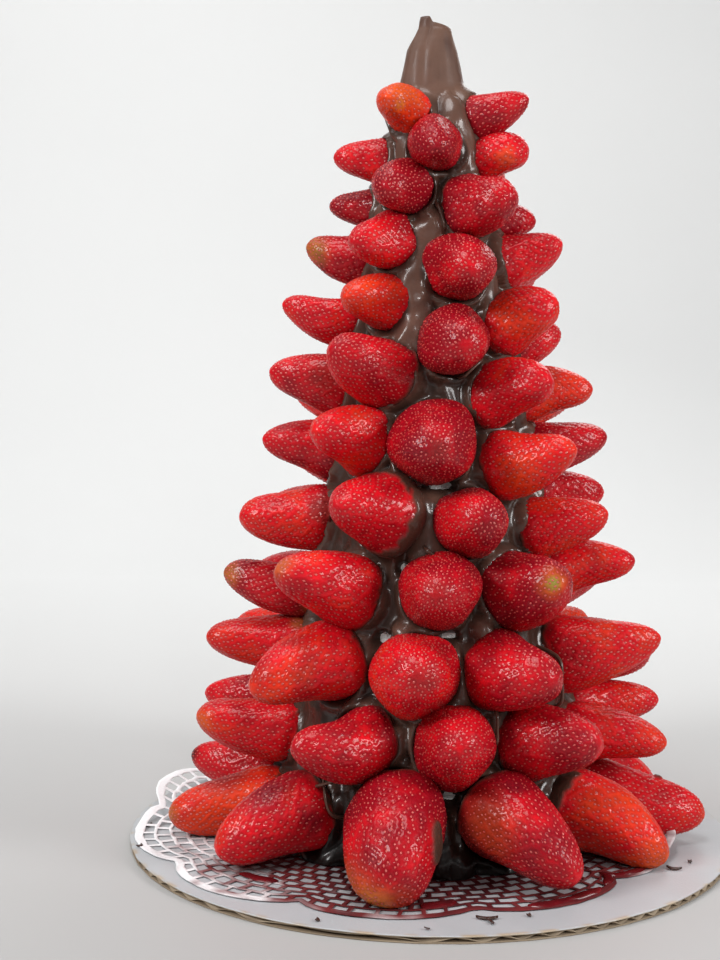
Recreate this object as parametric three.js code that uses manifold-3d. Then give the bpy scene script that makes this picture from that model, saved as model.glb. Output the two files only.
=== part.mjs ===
// A strawberry tree: a white foam cone under a thick coat of chocolate, set all round with
// strawberries that point outwards, on a scalloped paper doily on a round card cake board.
// Units are millimetres, +Z is up, the origin is the centre of the board's underside, and the
// side that is built berry by berry faces -Y.
import * as THREE from "three";
import { mergeVertices } from "three/addons/utils/BufferGeometryUtils.js";
import Module from "manifold-3d";

// Driving dimensions.
const CLEARANCE = 0.3;
const BOARD = { diameter: 254, thickness: 3, sides: 60 };
const DOILY = { diameter: 234, thickness: 0.5, lobes: 10, lobeDepth: 11, firstNotch: 15, pointsPerLobe: 8 };
const DOILY_CENTRE = { x: -10, y: 4 };
const CORE = { height: 305, baseRadius: 62, topRadius: 12, sides: 24 };
const COAT = { thickness: 4, lump: 1.2, sides: 24, ringSpacing: 22 };
const PEAK = { height: 34, tipRadius: 6, lean: -2, slope: 3.5 };
const BERRY = { nearSides: 8, farSides: 7, sunk: 3, unevenness: 0.05 };

// A berry's outline: how wide its stem end is beside its shoulder, the shares of its length that the
// shoulder takes and that its width loses to the tip, and how blunt the tip is.
const OUTLINE = { stemEnd: 0.6, shoulder: 0.22, taper: 0.46, bluntness: 7 };

// How much lower the berries of the far side sit, so that they stay behind those of the near side.
const FAR_DROP = 5;

// Places in the coat where the white core shows: azimuth, height, then the opening's width and depth.
const BARE_SPOTS = [
  [5, 152, 11, 4],
  [-14, 121, 4, 5],
  [9, 95, 7, 4],
  [-22, 93, 6, 6],
  [39, 92, 5, 4],
  [8, 33, 6, 5],
];

// The rows of berries from the board up. Each has the usual size and lift of its berries on the far
// side and their count for a whole turn. Each berry of the near side has an azimuth from the front,
// positive to the right, and a height for its seat, then its length and width, how far it lifts
// above the horizontal and how far it swings from straight outwards, in degrees.
const ROWS = [
  {
    length: 51, width: 34, lift: -14, perTurn: 13,
    near: [
      [-100, 22, 47, 25, 7, 0],
      [-78, 19, 51, 30, -8, -3],
      [-47, 24, 48, 34, -15, -11],
      [-11, 30, 54, 41, -22, 7],
      [22, 29, 53, 36, -18, 20],
      [60, 24, 51, 34, -18, 2],
      [83, 23, 57, 30, -9, 0],
    ],
  },
  {
    length: 43, width: 31, lift: 6, perTurn: 12,
    near: [
      [-103, 50, 47, 25, 6, 0],
      [-77, 47, 44, 28, 10, -5],
      [-22, 53, 43, 30, 6, -24],
      [9, 52, 38, 33, 15, -4],
      [39, 51, 41, 32, 11, 10],
      [74, 49, 45, 26, -2, 3],
      [97, 55, 45, 25, 3, 0],
    ],
  },
  {
    length: 44, width: 32, lift: 5, perTurn: 12,
    near: [
      [-82, 83, 45, 26, 5, 0],
      [-41, 84, 46, 34, -10, -13],
      [-6, 80, 38, 35, 11, 8],
      [29, 82, 40, 33, 2, 5],
      [72, 81, 48, 32, 12, 8],
    ],
  },
  {
    length: 41, width: 30, lift: 11, perTurn: 11,
    near: [
      [-85, 105, 42, 24, 12, 0],
      [-36, 108, 43, 31, 20, -18],
      [4, 113, 38, 32, 6, -5],
      [41, 111, 38, 32, 13, -6],
      [82, 114, 41, 25, 10, 0],
    ],
  },
  {
    length: 38, width: 29, lift: 2, perTurn: 10,
    near: [
      [-78, 137, 40, 28, 1, -5],
      [-20, 142, 40, 33, 10, -15],
      [20, 139, 34, 29, 10, -8],
      [65, 134, 36, 26, 13, 8],
      [97, 143, 34, 23, 8, 0],
    ],
  },
  {
    length: 37, width: 28, lift: 9, perTurn: 9,
    near: [
      [-84, 164, 35, 25, 10, 0],
      [-43, 169, 34, 28, 13, 3],
      [0, 172, 37, 35, -2, 0],
      [43, 161, 39, 28, 13, 10],
      [86, 165, 37, 23, 11, 0],
    ],
  },
  {
    length: 36, width: 27, lift: 12, perTurn: 9,
    near: [
      [-80, 190, 37, 27, 13, 0],
      [-27, 196, 38, 28, 19, -16],
      [39, 187, 35, 26, 16, 9],
      [84, 187, 34, 23, 8, 0],
    ],
  },
  {
    length: 33, width: 25, lift: 12, perTurn: 8,
    near: [
      [-84, 218, 36, 22, 13, 0],
      [-36, 226, 30, 24, 5, -3],
      [15, 212, 34, 29, -4, -6],
      [60, 215, 31, 27, 23, 0],
      [99, 208, 26, 21, 16, 0],
    ],
  },
  {
    length: 32, width: 25, lift: 8, perTurn: 7,
    near: [
      [-85, 244, 30, 23, 11, 0],
      [-38, 252, 30, 24, -4, 1],
      [19, 241, 33, 28, -4, -6],
      [82, 241, 31, 24, 20, 0],
    ],
  },
  {
    length: 28, width: 22, lift: 4, perTurn: 6,
    near: [
      [-95, 266, 24, 18, 2, 0],
      [-29, 273, 28, 23, -5, 8],
      [33, 265, 32, 26, 4, 4],
      [98, 260, 22, 18, 3, 0],
    ],
  },
  {
    length: 26, width: 21, lift: 5, perTurn: 5,
    near: [
      [-82, 284, 25, 20, 5, 0],
      [2, 290, 28, 23, -7, 0],
      [67, 283, 24, 19, 15, 4],
    ],
  },
  {
    length: 25, width: 20, lift: 12, perTurn: 3,
    near: [
      [-36, 302, 25, 20, 12, 8],
      [72, 300, 27, 21, 20, 0],
    ],
  },
];

const wasm = await Module();
wasm.setup();

const degrees = THREE.MathUtils.degToRad;
const DOILY_BASE = BOARD.thickness + CLEARANCE;
const DOILY_TOP = DOILY_BASE + DOILY.thickness;
const CORE_BASE = DOILY_TOP + CLEARANCE;
const CORE_TOP = CORE_BASE + CORE.height;

const materials = {
  chocolate: new THREE.MeshStandardMaterial({ color: 0x4a3029, roughness: 0.3 }),
  foam: new THREE.MeshStandardMaterial({ color: 0xe9e6de, roughness: 0.8 }),
  paper: new THREE.MeshStandardMaterial({ color: 0xeceaea, roughness: 0.7 }),
  card: new THREE.MeshStandardMaterial({ color: 0xd9dbdf, roughness: 0.5 }),
};

// A berry's own red, from an orange one to a dark one.
function strawberryRed(kind) {
  const ripeness = 0.5 + 0.5 * Math.sin(2.1 * kind);
  const color = new THREE.Color(0xcc3a20).lerp(new THREE.Color(0xa3131f), ripeness);
  return new THREE.MeshStandardMaterial({ color, roughness: 0.35 });
}

// A closed geometry as a solid that can be joined and cut.
function solidOf(geometry) {
  const bare = geometry.clone();
  bare.deleteAttribute("normal");
  bare.deleteAttribute("uv");
  const merged = mergeVertices(bare, 1e-4);
  return new wasm.Manifold(
    new wasm.Mesh({
      numProp: 3,
      vertProperties: new Float32Array(merged.attributes.position.array),
      triVerts: new Uint32Array(merged.index.array),
    }),
  );
}

// A solid as a geometry with flat faces.
function geometryOf(solid) {
  const { vertProperties, triVerts } = solid.getMesh();
  const geometry = new THREE.BufferGeometry();
  geometry.setAttribute("position", new THREE.BufferAttribute(vertProperties, 3));
  geometry.setIndex(new THREE.BufferAttribute(triVerts, 1));
  geometry.computeVertexNormals();
  return geometry;
}

// A closed skin through rings of points, each ring anticlockwise seen from the last one's side,
// capped by a point at both ends.
function skin(firstPoint, rings, lastPoint) {
  const sides = rings[0].length;
  const points = [firstPoint, ...rings.flat(), lastPoint];
  const last = points.length - 1;
  const corner = (ring, side) => 1 + ring * sides + (side % sides);
  const index = [];
  for (let side = 0; side < sides; side++) {
    index.push(0, corner(0, side + 1), corner(0, side));
    for (let ring = 0; ring + 1 < rings.length; ring++) {
      index.push(corner(ring, side), corner(ring, side + 1), corner(ring + 1, side + 1));
      index.push(corner(ring, side), corner(ring + 1, side + 1), corner(ring + 1, side));
    }
    index.push(last, corner(rings.length - 1, side), corner(rings.length - 1, side + 1));
  }
  return new THREE.BufferGeometry().setFromPoints(points).setIndex(index);
}

// The direction outwards at an azimuth from the front, lifted above the horizontal.
function outwards(azimuth, lift = 0) {
  const level = Math.cos(degrees(lift));
  return new THREE.Vector3(
    Math.sin(degrees(azimuth)) * level,
    -Math.cos(degrees(azimuth)) * level,
    Math.sin(degrees(lift)),
  );
}

// The core's radius at a height above the board's underside.
function coreRadius(height) {
  const share = (height - CORE_BASE) / CORE.height;
  return CORE.baseRadius + (CORE.topRadius - CORE.baseRadius) * share;
}

// The coat's outer radius: the core and its coat with low lumps, then the peak of chocolate above.
function coatRadius(height, turn) {
  const lump = COAT.lump * Math.sin(2 * turn + height / 19) * Math.sin(3 * turn - height / 13);
  if (height <= CORE_TOP) return coreRadius(height) + COAT.thickness + lump;
  const share = (height - CORE_TOP) / PEAK.height;
  return THREE.MathUtils.lerp(CORE.topRadius + COAT.thickness, PEAK.tipRadius, share) + lump;
}

// The outside of the coat from its foot to its peak, grown by a margin.
function coatForm(margin) {
  const foot = CORE_BASE;
  const top = CORE_TOP + PEAK.height;
  const steps = Math.round((top - foot) / COAT.ringSpacing);
  const rings = [];
  for (let step = 0; step <= steps; step++) {
    const height = foot + ((top - PEAK.slope - foot) * step) / steps;
    const share = Math.max(0, (height - CORE_TOP) / PEAK.height);
    const ring = [];
    for (let side = 0; side < COAT.sides; side++) {
      const turn = (2 * Math.PI * side) / COAT.sides;
      const radius = coatRadius(height, turn) + margin;
      const x = radius * Math.cos(turn) + PEAK.lean * share;
      ring.push(new THREE.Vector3(x, radius * Math.sin(turn), height - PEAK.slope * share * Math.cos(turn)));
    }
    rings.push(ring);
  }
  const peak = new THREE.Vector3(PEAK.lean * 2, 0, top + margin);
  return solidOf(skin(new THREE.Vector3(0, 0, foot), rings, peak));
}

// The foam cone, or the hollow that it leaves when grown by a margin and run out below.
function coreForm(margin) {
  const profile = [
    new THREE.Vector2(0, CORE_BASE - margin),
    new THREE.Vector2(coreRadius(CORE_BASE) + margin, CORE_BASE - margin),
    new THREE.Vector2(coreRadius(CORE_TOP) + margin, CORE_TOP + margin),
    new THREE.Vector2(0, CORE_TOP + margin),
  ];
  return new THREE.LatheGeometry(profile, CORE.sides).rotateX(Math.PI / 2);
}

// How thick a berry is at a share of its length: a round shoulder, nearly straight sides and a
// round tip.
function girth(share) {
  const rise = Math.max(0, 1 - share / OUTLINE.shoulder);
  const shoulder = Math.sqrt(1 - (1 - OUTLINE.stemEnd ** 2) * rise ** 2);
  return shoulder * (1 - OUTLINE.taper * share) * Math.sqrt(1 - share ** OUTLINE.bluntness);
}

// One hulled berry along +Z from its stem end at the origin, with an uneven girth that differs from
// berry to berry.
function berryForm({ length, width, kind, sides }) {
  const stations = [0, 0.14, 0.45, 0.76, 0.93];
  const widest = Math.max(...Array.from({ length: 50 }, (_, i) => girth(i / 50)));
  const rings = stations.map((share) => {
    const radius = ((width / 2) * girth(share)) / widest;
    return Array.from({ length: sides }, (_, side) => {
      const turn = (2 * Math.PI * side) / sides;
      const uneven = 1 + BERRY.unevenness * Math.cos(2 * turn + 2.4 * kind + 1.5 * share);
      return new THREE.Vector3(
        radius * uneven * Math.cos(turn),
        radius * uneven * Math.sin(turn),
        length * share,
      );
    });
  });
  return skin(new THREE.Vector3(0, 0, 0), rings, new THREE.Vector3(0, 0, length));
}

// A berry's mesh, standing on the coat at its seat and pointing outwards.
function placeBerry(berry) {
  const mesh = new THREE.Mesh(berryForm(berry), strawberryRed(berry.kind));
  const reach = coreRadius(berry.height) + COAT.thickness - BERRY.sunk;
  mesh.position.copy(outwards(berry.azimuth)).multiplyScalar(reach).setZ(berry.height);
  const axis = outwards(berry.azimuth + berry.swing, berry.lift);
  mesh.quaternion.setFromUnitVectors(new THREE.Vector3(0, 0, 1), axis);
  mesh.updateMatrixWorld();
  return mesh;
}

// A mesh's solid where it stands.
function standing(mesh) {
  return solidOf(mesh.geometry.clone().applyMatrix4(mesh.matrixWorld));
}

// The berries of the near side, as listed, named by row and by letter from the left.
function nearBerries() {
  return ROWS.flatMap((row, level) =>
    row.near.map(([azimuth, height, length, width, lift, swing], place) => ({
      name: `berry_${String(level + 1).padStart(2, "0")}${"abcdefg"[place]}`,
      sides: BERRY.nearSides, kind: level + place, azimuth, height, length, width, lift, swing,
    })),
  );
}

// The berries of the far side: each row goes on round the back at an even spacing, from its last
// near berry to its first, with sizes and directions that vary by a fixed rule.
function farBerries() {
  return ROWS.flatMap((row, level) => {
    const [first, firstHeight] = row.near.at(-1);
    const [last, lastHeight] = row.near[0];
    const span = 360 + last - first;
    const count = Math.round((span * row.perTurn) / 360) - 1;
    return Array.from({ length: count }, (_, place) => {
      const share = (place + 1) / (count + 1);
      const vary = Math.sin(5.1 * level + 2.3 * place);
      return {
        sides: BERRY.farSides,
        kind: level + 3 * place,
        azimuth: first + span * share,
        height: THREE.MathUtils.lerp(firstHeight, lastHeight, share) - (level > 0 ? FAR_DROP : 0),
        length: row.length * (1 - 0.06 * vary),
        width: row.width * (1 + 0.06 * vary),
        lift: row.lift + 4 * vary,
        swing: 5 * vary,
      };
    });
  });
}

// The card board: a plain disc.
function makeBoard() {
  const form = new THREE.CylinderGeometry(
    BOARD.diameter / 2, BOARD.diameter / 2, BOARD.thickness, BOARD.sides,
  ).rotateX(Math.PI / 2);
  const mesh = new THREE.Mesh(form, materials.card);
  mesh.name = "board";
  mesh.position.z = BOARD.thickness / 2;
  return mesh;
}

// The doily: a thin sheet whose edge is a ring of round lobes.
function makeDoily() {
  const outline = new THREE.Shape();
  const points = DOILY.lobes * DOILY.pointsPerLobe;
  for (let point = 0; point < points; point++) {
    const bulge = Math.sin((Math.PI * (point % DOILY.pointsPerLobe)) / DOILY.pointsPerLobe);
    const radius = DOILY.diameter / 2 - DOILY.lobeDepth * (1 - Math.sqrt(bulge));
    const place = outwards(DOILY.firstNotch + (360 * point) / points).multiplyScalar(radius);
    if (point === 0) outline.moveTo(place.x, place.y);
    else outline.lineTo(place.x, place.y);
  }
  const form = new THREE.ExtrudeGeometry(outline, { depth: DOILY.thickness, bevelEnabled: false });
  const mesh = new THREE.Mesh(form, materials.paper);
  mesh.name = "doily";
  mesh.position.set(DOILY_CENTRE.x, DOILY_CENTRE.y, DOILY_BASE);
  return mesh;
}

function makeCore() {
  const mesh = new THREE.Mesh(coreForm(0), materials.foam);
  mesh.name = "core";
  return mesh;
}

// A small flattened ball that opens the coat where it is thin.
function bareSpot([azimuth, height, width, depth]) {
  const form = new THREE.SphereGeometry(0.5, 8, 5).scale(width, COAT.thickness * 4, depth);
  const spot = new THREE.Mesh(form);
  spot.position.copy(outwards(azimuth)).multiplyScalar(coreRadius(height) + COAT.thickness).setZ(height);
  spot.rotation.z = degrees(azimuth);
  spot.updateMatrixWorld();
  return standing(spot);
}

// Everything under the doily's face, where no berry may reach.
function groundForm() {
  const depth = 40;
  const slab = new THREE.BoxGeometry(BOARD.diameter, BOARD.diameter, depth);
  return solidOf(slab.translate(0, 0, DOILY_TOP + CLEARANCE - depth / 2));
}

// The chocolate coat over the core, open in its bare spots, with the berries of the far side on it.
function makeCoat() {
  const ground = groundForm();
  const shell = BARE_SPOTS.reduce((coat, spot) => coat.subtract(bareSpot(spot)), coatForm(0));
  const laden = farBerries().reduce(
    (coat, berry) => coat.add(standing(placeBerry(berry)).subtract(ground)),
    shell,
  );
  const hollow = solidOf(coreForm(CLEARANCE));
  const mesh = new THREE.Mesh(geometryOf(laden.subtract(hollow)), materials.chocolate);
  mesh.name = "chocolate_coat";
  return mesh;
}

// The room that a berry takes up, with the clearance round it.
function roomOf(berry) {
  const length = berry.length + CLEARANCE;
  const width = berry.width + 2 * CLEARANCE;
  return standing(placeBerry({ ...berry, length, width }));
}

// The near berries, each cut to lie against the coat, the doily and the berries set before it.
function makeNearBerries() {
  let taken = farBerries().reduce((room, berry) => room.add(roomOf(berry)), groundForm());
  taken = taken.add(coatForm(CLEARANCE));
  const group = new THREE.Group();
  for (const berry of nearBerries()) {
    const mesh = placeBerry(berry);
    mesh.name = berry.name;
    mesh.geometry = geometryOf(standing(mesh).subtract(taken));
    mesh.geometry.applyMatrix4(mesh.matrixWorld.clone().invert());
    group.add(mesh);
    taken = taken.add(roomOf(berry));
  }
  return group;
}

const tree = new THREE.Group();
tree.add(makeBoard(), makeDoily(), makeCore(), makeCoat(), makeNearBerries());

export default tree;
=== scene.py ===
import functools
import random
from dataclasses import dataclass
from math import cos, pi, radians, sin, sqrt

import bmesh
import bpy
import numpy as np
from mathutils import Matrix, Vector, noise
from mathutils.kdtree import KDTree


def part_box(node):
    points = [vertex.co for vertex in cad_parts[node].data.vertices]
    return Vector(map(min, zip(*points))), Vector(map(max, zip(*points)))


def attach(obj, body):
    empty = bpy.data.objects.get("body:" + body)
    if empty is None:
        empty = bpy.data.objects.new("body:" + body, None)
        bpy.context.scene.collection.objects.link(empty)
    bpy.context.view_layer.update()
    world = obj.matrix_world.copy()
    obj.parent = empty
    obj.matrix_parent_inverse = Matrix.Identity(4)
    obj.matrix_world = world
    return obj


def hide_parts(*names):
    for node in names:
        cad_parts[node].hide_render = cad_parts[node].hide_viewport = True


# A chocolate strawberry tree dressed over its solids: strawberries with seeds in dimples, a smeared
# chocolate coat, a stained lace doily and a corrugated cake board. Lengths here are millimetres in
# the frame's axes; new_object turns them into metres.

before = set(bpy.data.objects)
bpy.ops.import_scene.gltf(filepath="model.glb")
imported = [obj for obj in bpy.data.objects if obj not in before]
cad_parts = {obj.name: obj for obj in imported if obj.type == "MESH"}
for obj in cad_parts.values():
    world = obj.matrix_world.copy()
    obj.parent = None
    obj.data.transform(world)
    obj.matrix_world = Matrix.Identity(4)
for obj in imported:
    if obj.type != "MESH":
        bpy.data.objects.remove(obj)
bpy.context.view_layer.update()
scene = bpy.context.scene
MM = 0.001

# The camera, from the view of the photo: its place, and where it looks in degrees.
CAMERA_PLACE = (0, -673, 214)
CAMERA_PITCH = -5.24
CAMERA_YAW = 2.57
CAMERA_ROLL = 0.29
CAMERA_LENS = 60
CAMERA_SENSOR = 36

# How berries are found in the solids: which corners stand clear, and how long a berry may be.
CLEAR_OF_COAT = 5
CLEAR_OF_DOILY = 1
TIP_REACH = 12
ROW_HEIGHT = 25
RING_CORNERS = 5
LENGTHS_TRIED = np.linspace(5, 80, 400)

# Strawberry form: how deep a berry sits in the coat, its outline as in the solids, the waves round it
# by count and height, its bend, and the edges of its triangles.
SUNK = 3.0
STEM_END = 0.6
SHOULDER = 0.22
USUAL_TAPER = 0.46
TAPER_SPREAD = 0.07
BLUNTNESS = 7
OUTLINE_STEPS = 240
SKIN_WAVES = ((2, 0.035), (3, 0.03), (5, 0.02))
BEND = 0.06
RESTING_GAP = 0.3
BURIED_SHARE = 0.07
NEAR_EDGE = 0.98
FAR_EDGE = 1.2
ICOSPHERE_FACES = 20
EVEN_TRIANGLE_AREA = 0.433

# Seeds, set in a spiral from the tip, and their dimples, with painted shade that darkens the skin in them.
SEED_SPACING = (2.35, 2.85)
SEED_PATCH = 0.87
SEED_CROWDING = 1.12
SEED_JITTER = 0.08
GOLDEN_ANGLE = radians(137.508)
SEED_CORNERS = 4
SEED_LENGTH = 1.4
SEED_WIDTH = 0.84
SEED_HEIGHT = 0.42
SEED_POINT = 0.25
SEED_DEPTH = 0.42
FAR_SEED_DEPTH = 0.3
DIMPLE_DEPTH = 0.58
DIMPLE_WIDTH = 0.94
DIMPLE_SHADE = 0.32

# Strawberry colours, linear: the flesh from orange to dark, and the marks on some berries.
FLESH_ORANGE = (0.74, 0.042, 0.008)
FLESH_RED = (0.70, 0.006, 0.013)
FLESH_DARK = (0.29, 0.003, 0.010)
BRUISE = (0.15, 0.008, 0.016)
MARKS = {
    "green": (0.24, 0.30, 0.05),
    "yellow": (0.60, 0.30, 0.06),
    "orange": (0.70, 0.15, 0.02),
    "olive": (0.32, 0.17, 0.04),
    "brown": (0.17, 0.022, 0.018),
    "maroon": (0.19, 0.005, 0.014),
    "black": (0.012, 0.010, 0.010),
}
SEED_PALE = (0.60, 0.13, 0.105)
SEED_RED = (0.54, 0.055, 0.046)

# How a berry's skin varies: patches of ripeness by weight and size, painted shade that darkens its
# shoulder, the chocolate at its foot, and the orange tips that some far berries have.
RIPENESS_PATCHES = ((0.4, 16), (0.22, 5))
SHOULDER_PAINTED_SHADE = 0.3
DIPPED_SHARE = 0.07
SMEAR_THICKNESS = 0.9
FAR_TIP_RADII = (0.1, 0.1, 6.0)

# What the photo shows of single berries, by row and letter: ripeness from 0, orange, to 1, dark, which
# also holds painted light, the outer berries made lighter and the middle ones darker; how bruised one is;
# how far one is dipped in chocolate; how much one tapers; and its spots, by share of its length, turn
# about it, radius, colour and strength.
RIPENESS_AND_PAINTED_LIGHT = {
    "01b": 0.0, "01c": 0.5, "01d": 0.85, "01e": 0.9, "01f": 0.25, "01g": 0.55,
    "02a": 0.65, "02b": 0.4, "02c": 0.78, "02d": 0.78, "02e": 0.75, "02f": 0.45, "02g": 0.5,
    "03a": 0.4, "03b": 0.3, "03c": 0.55, "03d": 0.75, "03e": 0.45,
    "04a": 0.85, "04b": 0.5, "04c": 0.85, "04d": 0.9, "04e": 0.4,
    "05a": 0.45, "05b": 0.6, "05c": 0.75, "05d": 0.35, "05e": 0.7,
    "06a": 0.65, "06b": 0.4, "06c": 1.0, "06d": 0.22, "06e": 0.85,
    "07a": 0.65, "07b": 0.65, "07c": 0.5, "07d": 0.2,
    "08a": 0.5, "08b": 0.3, "08c": 1.0, "08d": 0.35, "08e": 0.6,
    "09a": 0.8, "09b": 0.62, "09c": 0.8, "09d": 0.55,
    "10a": 1.0, "10b": 1.0, "10c": 0.8, "10d": 0.9,
    "11a": 0.5, "11b": 1.0, "11c": 0.65, "12a": 0.1, "12b": 0.85,
}
BRUISES = {
    "01c": 0.55, "01e": 0.4, "01g": 0.1, "02e": 0.35, "03c": 0.15, "04b": 0.05, "04c": 0.15, "05a": 0.3,
    "05c": 0.25, "05d": 0.05, "06b": 0.05, "06c": 0.3, "07a": 0.3, "08c": 0.6, "08d": 0.05,
}
DIPPED = {"01f": 0.14, "05b": 0.27, "07b": 0.12}
TAPERS = {
    "01d": 0.3, "01g": 0.4, "02f": 0.5, "03e": 0.62, "04e": 0.54, "05b": 0.6, "06a": 0.56, "06d": 0.56,
    "06e": 0.5, "07d": 0.5, "08a": 0.52, "09d": 0.56, "11c": 0.22, "12b": 0.6,
}
SPOTS = {
    "01a": ((0.999, 0, 6, "black", 0.9),),
    "01b": ((0.5, 100, 13, "maroon", 0.7), (0.98, 20, 5, "olive", 0.6)),
    "01c": ((0.5, 90, 15, "maroon", 0.7),),
    "01d": ((0.85, 225, 17, "orange", 0.65), (0.97, 225, 8, "yellow", 0.3), (0.55, 10, 9, "cocoa", 1.0)),
    # The orange spot on 01e's left edge is painted light on that rim.
    "01e": ((0.35, 176, 15, "orange", 0.2),),
    "01f": ((0.95, 250, 12, "orange", 0.55),),
    "01g": ((0.62, 84, 3, "cocoa", 0.6), (0.97, 300, 8, "orange", 0.35)),
    "02b": ((0.96, 350, 6, "orange", 0.6),),
    "03a": ((0.16, 56, 5, "olive", 0.5),),
    "03c": ((0.99, 336, 7, "brown", 0.4),),
    "04a": ((0.95, 352, 6, "yellow", 0.4), (0.08, 336, 5, "yellow", 0.4)),
    "04b": ((0.99, 78, 6, "olive", 0.5),),
    "04c": ((0.99, 110, 5, "brown", 0.4),),
    "04d": ((0.97, 178, 7, "orange", 0.5), (0.97, 178, 3.2, "green", 0.75)),
    "05a": ((0.13, 22, 8, "brown", 0.7),),
    "06c": ((0.99, 0, 5, "brown", 0.5), (0.8, 180, 9, "maroon", 0.45)),
    "07a": ((0.42, 20, 9, "brown", 0.55),),
    "09a": ((0.9, 354, 8, "green", 0.4),),
    "11c": ((0.68, 206, 5, "yellow", 0.15),),
    "12a": ((0.8, 332, 3, "yellow", 0.5), (0.75, 30, 10, "orange", 0.45)),
}

# Chocolate: its colours, linear, the grid of the coat, and painted shade and light on it: darker in
# crevices, lighter on ridges, darker along the berries and at the foot.
CHOCOLATE_DARK = (0.082, 0.039, 0.027)
CHOCOLATE_LIGHT = (0.132, 0.067, 0.048)
CHOCOLATE_PEAK = (0.116, 0.060, 0.041)
COAT_COLUMNS = 306
COAT_ROWS = 242
CREVICE_SHADE = 0.42
RIDGE_SHADE = 1.05
BERRY_CONTACT_PAINTED_SHADE = 0.4
BERRY_CONTACT_SHADE_REACH = 2.4
FOOT_SHADE = 0.06

# The relief of the coat: lips pressed up round the berries, strokes on the cone and creases on the
# peak, by size and form of ridged noise, and pools at the foot.
LIP_HEIGHT = 4.6
LIP_WIDTH = (1.6, 2.8)
LIP_GAP = 0.9
LIP_REACH = 20
STROKE_HEIGHT = 1.6
STROKE_SIZE = (15, 15, 30)
STROKE_FORM = (0.9, 2.1, 3, 0.9, 1.6)
CREASE_HEIGHT = 0.4
CREASE_SIZE = (7, 7, 60)
CREASE_FORM = (0.9, 2.0, 2, 0.9, 1.5)
POOL_HEIGHT = 5

# Thick smears as the photo shows them: azimuth and height of both ends, half width and thickness.
SMEARS = (
    (-2, 258, -17, 243, 5.0, 5.5), (-17, 243, -16, 214, 5.5, 6.0), (-3, 158, -2, 128, 5.0, 5.5),
    (3, 24, 4, 9, 4.5, 9.0), (9, 9, 9, 5, 5.0, 7.0), (23, 99, 24, 96, 3.0, 6.5),
    (13, 78, 13, 66, 2.5, 5.5), (-40, 297, -24, 282, 4.0, 4.5), (28, 303, 38, 282, 5.0, 5.0),
    (-12, 97, -11, 90, 3.0, 5.5), (48, 235, 52, 222, 4.0, 4.5), (-60, 262, -50, 256, 4.0, 4.0),
    (30, 66, 28, 60, 2.5, 5.0),
)
SMEAR_SPREAD = 1.6

# Where the white core shows: azimuth, height, width and depth of each spot. The relief sinks round a
# spot, out to a share of its radius, and the coat inside it drops below the core.
BARE_SPOTS = (
    (5, 154, 11, 5), (-14, 121, 4, 5), (9, 95, 7, 4), (-22, 93, 6, 6), (39, 92, 5, 4), (8, 33, 6, 5),
)
BARE_INSIDE = 0.75
BARE_OUTSIDE = 1.25
BARE_SLOPE = 2.4
BARE_FLATNESS = 0.85
BARE_DROP = 1.3

# The peak from its foot up: heights, half widths and how far its middle leans, then its flat sides by
# azimuth and reach. Its top is a spike on the left and a lower shoulder that falls to the right.
PEAK_HEIGHTS = (309, 317, 330, 336, 338.5)
PEAK_HALF_WIDTHS = (14.6, 13.1, 10.4, 7.9, 7.0)
PEAK_MIDDLES = (-0.8, -1.4, -1.35, -0.7, -0.5)
PEAK_FLATS = (
    (-82, 1.0), (-38, 0.9), (4, 0.8), (44, 0.93), (86, 1.0), (135, 0.85), (180, 0.8), (230, 0.88),
)
PEAK_CREASE = (-22, 12, 1.0)
PEAK_SHARPNESS = 14
SPIKE_TOP = 343.3
SPIKE_EDGE = -1.5
SHOULDER_TOP = 341.0
SHOULDER_FALL = 0.25
CAP_RINGS = (0.02, 0.05, 0.09, 0.14, 0.3, 0.5, 0.7, 0.88)
CAP_RIM = 0.14

# Thin threads of chocolate between berries: azimuth and height of both ends, and how far they stand off.
STRANDS = (
    (1, 267, 9, 254, 6), (56, 88, 52, 63, 13), (34, 205, 17, 196, 7), (-38, 46, -32, 22, 10),
    (-30, 40, -42, 34, 11), (23, 71, 22, 53, 14), (-4, 131, 6, 124, 9), (-64, 120, -58, 108, 10),
)
STRAND_THICKNESS = 0.7
STRAND_BOW = 6
STRAND_STEPS = 18
STRAND_SIDES = 6

# Doily: rings of cut-outs between a plain hub and a plain scalloped border, and its lobes that curl up,
# by turn, half width and height.
LACE_LOBES = 10
LACE_CORNERS = 156
LACE_RINGS = 11
LACE_INNER = 50.0
LACE_BORDER = 3.0
LACE_BORDER_RINGS = 3
LACE_HUB = (40.0, 20.0)
LACE_STRAND = 0.66
LACE_LOBE_DEPTH = 11.0
LACE_FIRST_NOTCH = 15.0
LACE_RAGGEDNESS = 0.5
LACE_CURLS = ((75, 11, 6.5), (-106, 19, 8.0))
LACE_WAVES = 0.45
LACE_GAP = 0.15
PAPER_THICKNESS = 0.3
PAPER_WHITE = (0.88, 0.88, 0.89)

# The juice that soaked the doily, and puddles of it: turns of both ends, how far inside the doily's
# edge, and half width.
STAIN_CENTRE = (8, -36, 0)
STAIN_RADIUS = 102.0
STAIN_FRINGE = 28.0
STAIN_LIGHT = (0.16, 0.020, 0.021)
STAIN_DARK = (0.065, 0.007, 0.009)
JUICE_RED = (0.16, 0.006, 0.010)
PUDDLES = ((25, 44, 4.0, 2.6), (46, 61, 4.0, 2.2), (-42, -31, 22, 3.0), (4, 12, 12, 3.6))
PUDDLE_TOP = 0.75
PUDDLE_STEPS = 64
PUDDLE_ROWS = 9
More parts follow.
